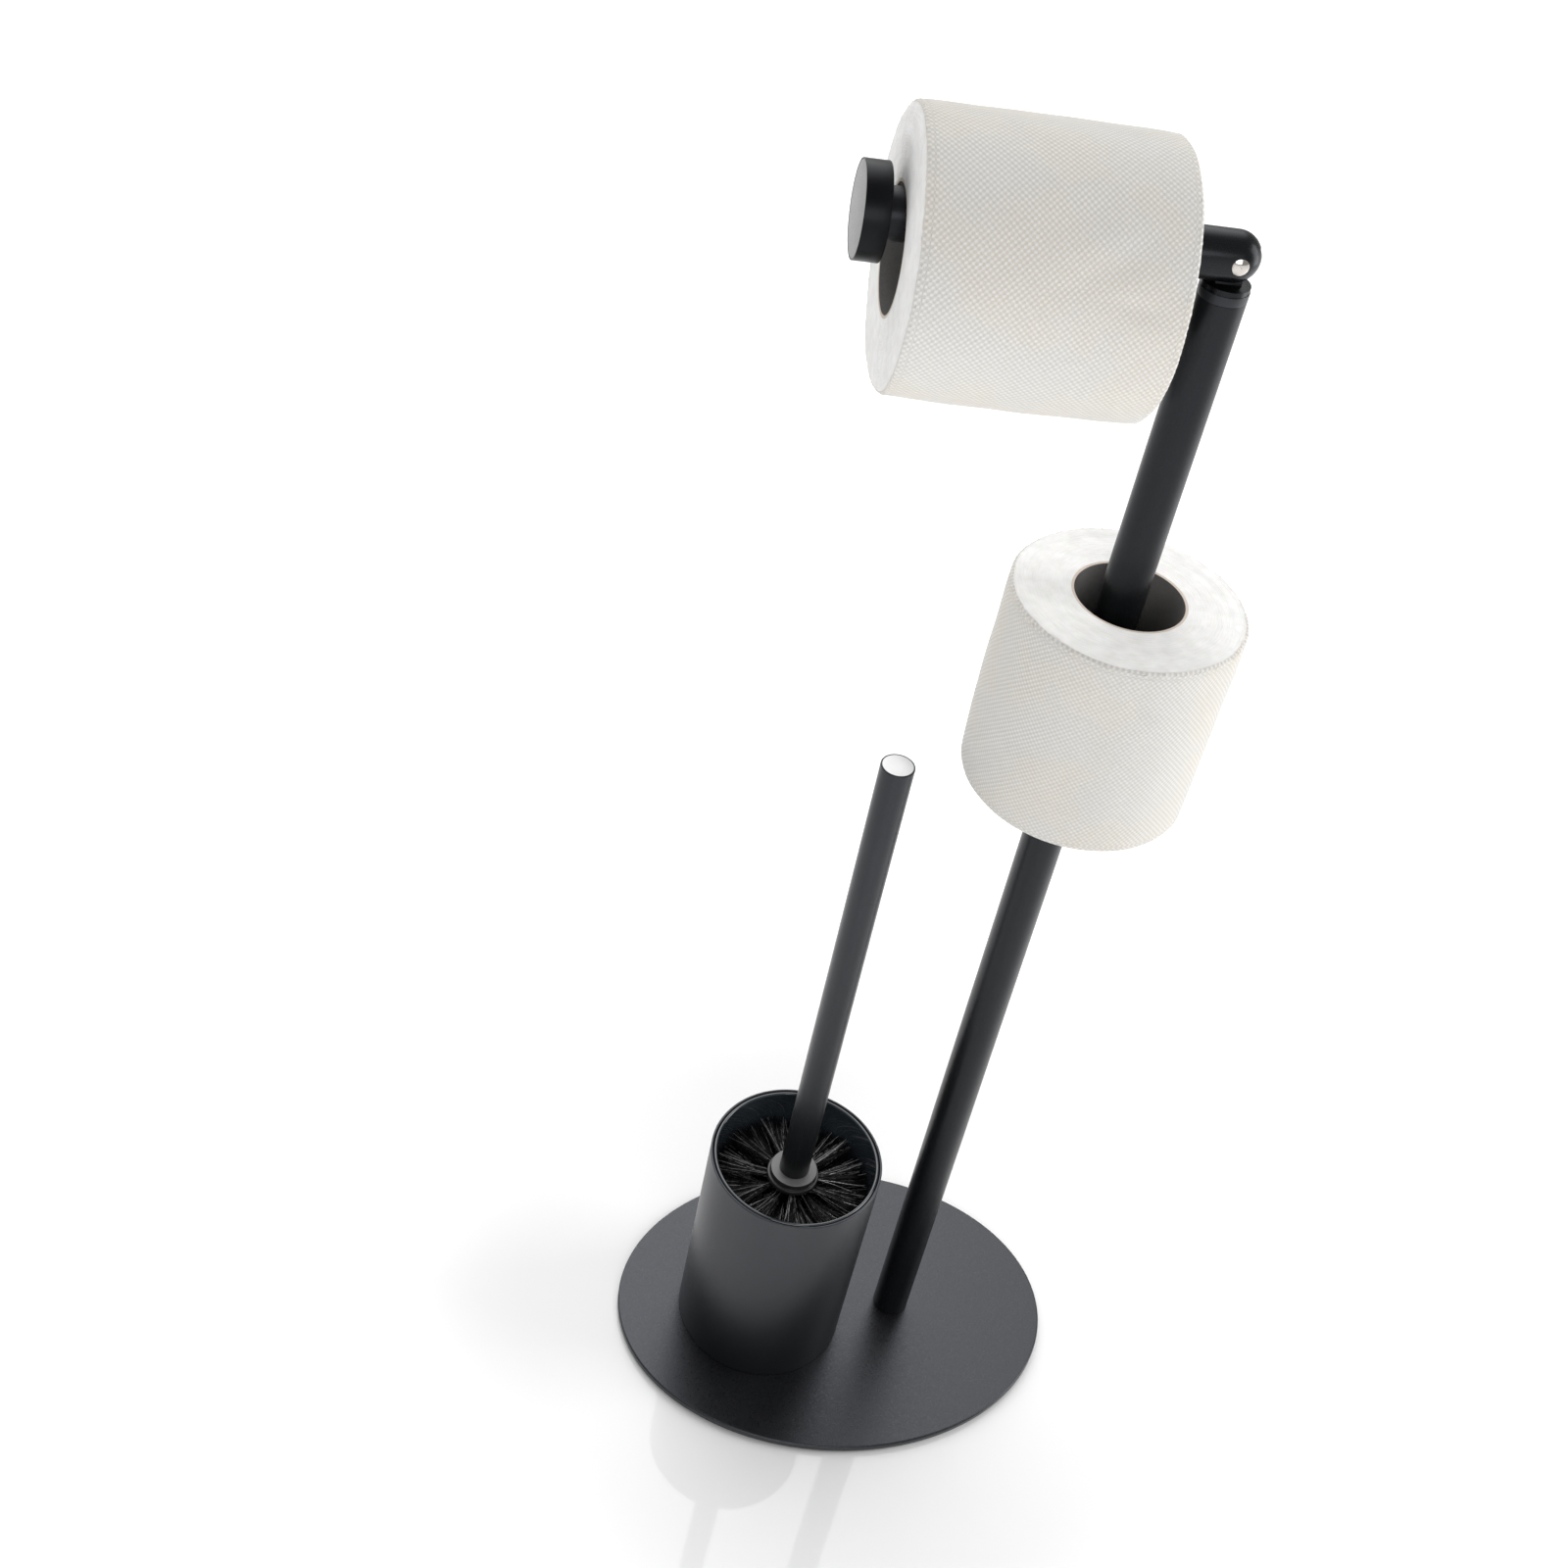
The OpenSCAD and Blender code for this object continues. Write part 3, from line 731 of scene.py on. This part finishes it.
def pole():
    """Pole tube, its head with a collar ring painted a paler black as lit below a neck in the fork's shade,
    and the rest of the spare roll.
    """
    start, end, outer = POLE.span("pole_tube")
    outline = ring_outline(start, end, outer, outer - TUBE_WALL, FINE_EDGE)
    stand_for(turned("pole_skin", POLE, outline, ["tube"]), "stand", "tube_powder_coat", "pole_tube")
    head = softened("head_skin", "pole_head", "head", 0.3 * MM, "stand", "head_powder_coat")
    collar_top = min(level for level in levels("pole_head") if level > end + MM)
    # The collar ring is painted paler as lit; the neck above keeps the darker head coat, as in the fork's
    # shade.
    repaint_band(head, "ring", end + 0.5 * MM, collar_top - 0.5 * MM)
    softened("rest_skin", "spare_roll_rest", "rest", 0.4 * MM, "stand", "rest_plastic")


# ---- arm ----

def arm():
    """Fork, tube, end knob and the satin disc on its face."""
    softened("fork_skin", "arm_fork", "head", 0.35 * MM, "arm", "head_powder_coat")
    start, end, outer = ARM.span("arm_tube")
    outline = ring_outline(start, end, outer, outer - TUBE_WALL, FINE_EDGE)
    stand_for(turned("arm_tube_skin", ARM, outline, ["tube"]), "arm", "tube_powder_coat", "arm_tube")
    softened("knob_skin", "end_knob", "knob", 0.45 * MM, "arm", "knob_powder_coat")
    start, end, outer = ARM.span("knob_cover_disc")
    rim = end - DISC_DOME
    outline = rounded([(0, start, 0), (outer, start, 0.1 * MM), (outer, rim, 0.25 * MM), (0, end, 0)])
    disc = turned("knob_face", ARM, outline, ["satin"], closed=False)
    stand_for(disc, "arm", "satin_steel", "knob_cover_disc")


# ---- rolls ----

def roll_shape(start, end, inner, outer, seed, dents):
    """Gives the function that bends a roll: out of round, dented, with uneven layers at the ends."""
    def shape(radius, angle, distance):
        depth = (radius - inner) / (outer - inner)
        soft = depth ** 2
        swell = SWELL * waves(angle, distance, 9, turns=4, rates=70, seed=seed)
        creases = CREASES * waves(angle, distance, 14, turns=16, rates=260, seed=seed + 1)
        along = (distance - start) / (end - start)
        belly = BELLY * (1 - (2 * along - 1) ** 6)
        for dent in dents:
            turn = (angle - math.radians(dent.turn) + math.pi) % TURN - math.pi
            x = turn * outer / dent.wide
            y = (along - dent.share) * (end - start) / dent.long
            swell = swell - dent.deep * np.exp(-(x + dent.lean * y) ** 2 - y ** 2)
        radius = radius + soft * (swell + creases + belly - BELLY)
        layers = END_LAYERS * waves(angle, radius * 3, 10, turns=5, rates=400, seed=seed + 2)
        outwards = np.sign(along - 0.5) * (np.abs(along - 0.5) > 0.47)
        sag = END_SAG * depth ** 3
        distance = distance + outwards * np.clip(depth * 6, 0, 1) * (layers * depth - sag)
        fringe = (depth > 0.93) * (np.abs(along - 0.5) > 0.475)
        dice = np.random.default_rng(seed + 3)
        jitter = dice.normal(0, FRINGE, radius.shape)
        jitter[:, -1] = jitter[:, 0]
        return radius + fringe * jitter, distance + fringe * jitter
    return shape


def paper_roll(name, axis, node, core_node, body, seed, dents):
    """The paper of one roll: an embossed sheet around it and the ends of its layers."""
    start, end, outer = axis.span(node)
    inner = axis.span(core_node)[2]
    corners = [(inner, start, 0), (outer, start, PAPER_EDGE), (outer, end, PAPER_EDGE), (inner, end, 0)]
    outline = divided(rounded(corners, 5), PAPER_STEP, True)
    around = round(TURN * outer / EMBOSS_PITCH)

    def grid(radius, angle, distance):
        is_end = (distance <= start + 1e-6) | (distance >= end - 1e-6)
        u = np.where(is_end, angle * radius / MM, angle / TURN * around)
        v = np.where(is_end, radius / MM, distance / EMBOSS_PITCH)
        return u, v

    def look_of(first, second):
        return 1 if min(first[0], second[0]) < outer - PAPER_EDGE * 0.8 else 0

    shape = roll_shape(start, end, inner, outer, seed, dents)
    looks = ["sheet", "end"]
    piece = turned(name, axis, outline, looks, sides=PAPER_SIDES, shape=shape, grid=grid, look_of=look_of)
    stand_for(piece, body, "roll_paper", node)


def roll_core(name, axis, node, body):
    """Cardboard tube with a seam that winds around it, and pale cut edges."""
    start, end, outer = axis.span(node)
    inner = outer - CORE_WALL
    outline = divided(ring_outline(start, end, outer, inner, 0.2 * MM), CORE_STEP, True)

    def grid(radius, angle, distance):
        return angle / TURN, (distance - start) / (end - start) * SEAM_TURNS

    def look_of(first, second):
        return 1 if abs(first[0] - second[0]) > 0.01 * MM else 0

    piece = turned(name, axis, outline, ["core", "rim"], grid=grid, look_of=look_of)
    stand_for(piece, body, "core_cardboard", node)


def rolls():
    """Both rolls, each with its core."""
    paper_roll("arm_paper", ARM_ROLL, "arm_roll_paper", "arm_roll_core", "arm_roll", ARM_SEED, ARM_DENTS)
    paper_roll(
        "spare_paper", SPARE, "spare_roll_paper", "spare_roll_core", "spare_roll", SPARE_SEED, SPARE_DENTS)
    roll_core("arm_core", ARM_ROLL, "arm_roll_core", "arm_roll")
    roll_core("spare_core", SPARE, "spare_roll_core", "spare_roll")


# ---- brush holder ----

def holder():
    """Outer shell of the brush holder, with a hole for its screw in the floor."""
    start, end, outer = HOLDER.span("brush_holder")
    hole = HOLDER.span("holder_nut")[2] * 0.6
    inner = outer - HOLDER_WALL
    floor = start + HOLDER_WALL
    outline = rounded([
        (hole, start, 0), (outer, start, 0.5 * MM), (outer, end, HOLDER_LIP), (inner, end, HOLDER_LIP),
        (inner, floor, 1.5 * MM), (hole, floor, 0),
    ])
    shell = turned("holder_shell", HOLDER, outline, ["holder"], sides=SHELL_SIDES)
    stand_for(shell, "stand", "holder_powder_coat", "brush_holder")


def cup():
    """Loose liner with a round lip and a skirt below its floor."""
    start, end, outer = HOLDER.span("inner_cup")
    inner = outer - CUP_WALL
    skirt, floor = levels("inner_cup")[1:3]
    lip = CUP_WALL * 0.49
    outline = rounded([
        (0, floor, 0), (inner, floor, 4 * MM), (inner, end, lip), (outer, end, lip),
        (outer, start, FINE_EDGE), (inner, start, FINE_EDGE), (inner, skirt, 1 * MM), (0, skirt, 0),
    ], 6)
    liner = turned("cup_liner", HOLDER, outline, ["cup"], closed=False, sides=SHELL_SIDES)
    stand_for(liner, "cup", "cup_plastic", "inner_cup")


# ---- brush ----

def handle():
    """Handle tube and the polished disc in its top."""
    start, end, outer = HOLDER.span("brush_handle")
    outline = ring_outline(start, end, outer, outer - HANDLE_WALL, 0.45 * MM)
    tube = turned("handle_skin", HOLDER, outline, ["handle"], sides=FINE_SIDES)
    stand_for(tube, "brush", "tube_powder_coat", "brush_handle")

    start, end, outer = HOLDER.span("handle_top_disc")
    rim = end - HANDLE_DOME
    outline = rounded([(0, start, 0), (outer, start, 0.1 * MM), (outer, rim, 0.3 * MM), (0, end, 0)])
    disc = turned("handle_face", HOLDER, outline, ["polished"], closed=False, sides=FINE_SIDES)
    stand_for(disc, "brush", "polished_steel", "handle_top_disc")


def hub():
    """Two-step flange between the handle and the bristles, with a greyer top face."""
    start, end, outer = HOLDER.span("brush_hub")
    hole = HOLDER.span("brush_stud")[2] + SCREW_GAP
    step_z = levels("brush_hub")[1]
    step_r = outer - 1.3 * MM
    outline = rounded([
        (hole, start, 0), (outer, start, 0.4 * MM), (outer, step_z, 0.5 * MM), (step_r, step_z, 0.3 * MM),
        (step_r, end, 0.5 * MM), (hole, end, 0),
    ])

    def look_of(first, second):
        return 1 if min(first[1], second[1]) > end - 0.2 * MM else 0

    flange = turned("hub_skin", HOLDER, outline, ["hub", "hub_top"], sides=FINE_SIDES, look_of=look_of)
    stand_for(flange, "brush", "hub_plastic", "brush_hub")


def bristle_paths():
    """Centre lines of all strands: tufts on the core that fan out to the round field of the brush."""
    low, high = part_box("bristles")
    core = HOLDER.span("brush_core")[2]
    reach = (high.x - low.x) / 2
    heights = np.arange(low.z + 2 * MM, high.z - 1 * MM, LEVEL_STEP)
    heights += high.z - TOP_LEVEL_DROP - heights[-1]
    paths, glint_tones = [], []
    for level, height in enumerate(heights):
        is_top = level >= len(heights) - TOP_LEVELS
        per_tuft = TOP_STRANDS if is_top else INNER_STRANDS
        for tuft in range(TUFTS_PER_LEVEL):
            angle = (tuft + 0.5 * (level % 2)) * TURN / TUFTS_PER_LEVEL
            for _ in range(per_tuft):
                paths.append(strand(angle, height, low.z, high.z, core, reach))
                # Each strand's tone decides whether it is painted pale as a glint.
                glint_tones.append(RNG.uniform(0, 1))
    return np.array(paths), np.array(glint_tones)


def strand(angle, height, bottom, top, core, reach):
    """Points of one strand from the core to its tip, bent a little at random."""
    fan = RNG.normal(0, STRAND_FAN) * TURN / TUFTS_PER_LEVEL
    rise = RNG.normal(0, TIP_RISE)
    root_angle = angle + RNG.uniform(-ROOT_TURN, ROOT_TURN)
    root = height + RNG.uniform(-ROOT_SHIFT, ROOT_SHIFT)
    tip = min(max(height + rise, bottom + 0.5 * MM), top - 0.6 * MM)
    droop = RNG.uniform(0, TIP_DROOP)
    from_bottom = max(tip - bottom, 0.0)
    if from_bottom < BRUSH_BEND:
        limit = reach - BRUSH_BEND + math.sqrt(max(BRUSH_BEND ** 2 - (BRUSH_BEND - from_bottom) ** 2, 0.0))
    else:
        limit = reach
    length = limit - abs(RNG.normal(0, TIP_TRIM))
    share = np.linspace(0, 1, STRAND_POINTS)
    crimp = RNG.normal(0, STRAND_CRIMP, (2, STRAND_POINTS)) * share * (1.3 - share)
    radius = core * 0.9 + (length - core * 0.9) * share
    turn = root_angle + (angle + fan - root_angle) * share ** 0.7 + crimp[0] / np.maximum(radius, core)
    z = root + (tip - root) * share + crimp[1] - droop * np.sin(share * math.pi)
    return HOLDER.points(radius, turn, np.clip(z, bottom, top - 0.2 * MM))


def tubes(name, paths, glint_tones, radius, look):
    """Thin three-sided tubes along many centre lines, each with its own tone, which sets the painted glints.
    """
    count, length = paths.shape[:2]
    tangent = np.gradient(paths, axis=1)
    tangent /= np.linalg.norm(tangent, axis=2, keepdims=True)
    first = np.cross(tangent, (0.0, 0.0, 1.0))
    first /= np.maximum(np.linalg.norm(first, axis=2, keepdims=True), 1e-9)
    second = np.cross(tangent, first)
    taper = np.linspace(1.0, TIP_TAPER, length)[None, :, None] * radius
    turns = (0, TURN / 3, 2 * TURN / 3)
    rings = [paths + taper * (math.cos(turn) * first + math.sin(turn) * second) for turn in turns]
    points = np.stack(rings, axis=2).reshape(-1, 3)
    base = (np.arange(count) * length * 3)[:, None, None] + (np.arange(length - 1) * 3)[None, :, None]
    side = np.arange(3)[None, None, :]
    after = (side + 1) % 3
    quads = np.stack([base + side, base + after, base + after + 3, base + side + 3], axis=-1).reshape(-1, 4)
    start = np.arange(count)[:, None] * length * 3
    caps = np.concatenate([start + (2, 1, 0), start + (length - 1) * 3 + (0, 1, 2)])
    mesh = bpy.data.meshes.new(name)
    mesh.from_pydata(points.tolist(), [], quads.tolist() + caps.tolist())
    piece = new_piece(name, mesh, [look])
    tone = mesh.attributes.new("strand", "FLOAT", "POINT")
    tone.data.foreach_set("value", np.repeat(glint_tones, length * 3))
    mesh.shade_smooth()
    return piece


def bristles():
    """All strands of the brush as one piece."""
    paths, glint_tones = bristle_paths()
    piece = tubes("bristle_strands", paths, glint_tones, STRAND_RADIUS, "bristle")
    stand_for(piece, "brush", "bristle_nylon", "bristles")


# ---- CAD nodes that stay ----

KEPT = {
    "floor_pad": "pad", "pole_screw": "zinc", "holder_screw": "zinc", "pole_foot_plug": "zinc",
    "rest_grub_screw": "zinc", "hinge_pin": "pin", "arm_end_plug": "zinc", "knob_screw": "zinc",
    "holder_nut": "zinc", "handle_insert": "zinc", "brush_stud": "zinc", "brush_core": "rest",
}


def dress_kept_nodes():
    """Gives the CAD nodes that stay as they are their materials."""
    for node, look in KEPT.items():
        mesh = frame["nodes"][node].data
        mesh.materials.clear()
        mesh.materials.append(LOOKS[look])


# ---- studio ----

def floor():
    """Large flat floor just below the lowest point of the object."""
    half = FLOOR_HALF
    corners = [(-half, -half, 0), (half, -half, 0), (half, half, 0), (-half, half, 0)]
    mesh = bpy.data.meshes.new("floor")
    mesh.from_pydata(corners, [], [(0, 1, 2, 3)])
    piece = new_piece("floor", mesh, ["floor"])
    piece.location.z = CAD_BOX[0][2] - FLOOR_GAP


def soft_light(panel):
    """White area light that the camera does not see."""
    lamp = bpy.data.lights.new(panel.name, "AREA")
    lamp.shape = "RECTANGLE"
    lamp.size, lamp.size_y = panel.size
    lamp.energy = panel.power
    light = bpy.data.objects.new(panel.name, lamp)
    bpy.context.scene.collection.objects.link(light)
    light.visible_camera = False
    back = np.array(panel.at, float) - np.array(panel.towards, float)
    light.matrix_world = Matrix.Translation(panel.at) @ looking(back, 0.0)


def looking(back, roll):
    """Rotation of a camera or light whose back points along a direction, rolled in degrees."""
    back = back / np.linalg.norm(back)
    right = np.cross((0.0, 0.0, 1.0), back)
    right /= np.linalg.norm(right)
    up = np.cross(back, right)
    turn = math.radians(roll)
    columns = (
        right * math.cos(turn) + up * math.sin(turn),
        up * math.cos(turn) - right * math.sin(turn),
        back,
    )
    return Matrix([[*(float(column[row]) for column in columns)] for row in range(3)]).to_4x4()


def studio():
    """Room light that grows towards one direction, pure white to the camera, and the two panels."""
    world = bpy.data.worlds.new("studio")
    world.use_nodes = True
    tree = world.node_tree
    direction = tree.nodes.new("ShaderNodeTexCoord").outputs["Generated"]
    towards = tree.nodes.new("ShaderNodeVectorMath")
    towards.operation = "DOT_PRODUCT"
    towards.inputs[1].default_value = np.array(GLOW_FROM) / np.linalg.norm(GLOW_FROM)
    glow = tree.nodes.new("ShaderNodeMapRange")
    glow.interpolation_type = "SMOOTHSTEP"
    glow.inputs["From Min"].default_value = math.cos(math.radians(GLOW_SPREAD[1]))
    glow.inputs["From Max"].default_value = math.cos(math.radians(GLOW_SPREAD[0]))
    glow.inputs["To Min"].default_value = ROOM_LIGHT
    glow.inputs["To Max"].default_value = ROOM_LIGHT + GLOW_LIGHT
    seen = tree.nodes.new("ShaderNodeLightPath").outputs["Is Camera Ray"]
    level = tree.nodes.new("ShaderNodeMix")
    level.inputs[3].default_value = 1.0
    tree.links.new(direction, towards.inputs[0])
    tree.links.new(towards.outputs["Value"], glow.inputs["Value"])
    tree.links.new(seen, level.inputs[0])
    tree.links.new(glow.outputs["Result"], level.inputs[2])
    tree.nodes["Background"].inputs["Color"].default_value = (1.0, 1.0, 1.0, 1)
    tree.links.new(level.outputs[0], tree.nodes["Background"].inputs["Strength"])
    bpy.context.scene.world = world
    for panel in PANELS:
        soft_light(panel)
    bpy.context.scene.view_settings.view_transform = "Standard"


def camera():
    """The view of the photo."""
    lens = bpy.data.cameras.new("camera")
    lens.sensor_width = FILM_WIDTH
    lens.lens = CAMERA_LENS
    lens.clip_start = NEAR_CLIP
    eye = bpy.data.objects.new("camera", lens)
    bpy.context.scene.collection.objects.link(eye)
    a, e = math.radians(CAMERA_AZIMUTH), math.radians(CAMERA_ELEVATION)
    back = np.array([math.sin(a) * math.cos(e), -math.cos(a) * math.cos(e), math.sin(e)])
    eye.matrix_world = Matrix.Translation(CAMERA_AT) @ looking(back, CAMERA_ROLL)
    bpy.context.scene.camera = eye


camera()
studio()
floor()
plate()
pole()
arm()
rolls()
holder()
cup()
handle()
hub()
bristles()
dress_kept_nodes()
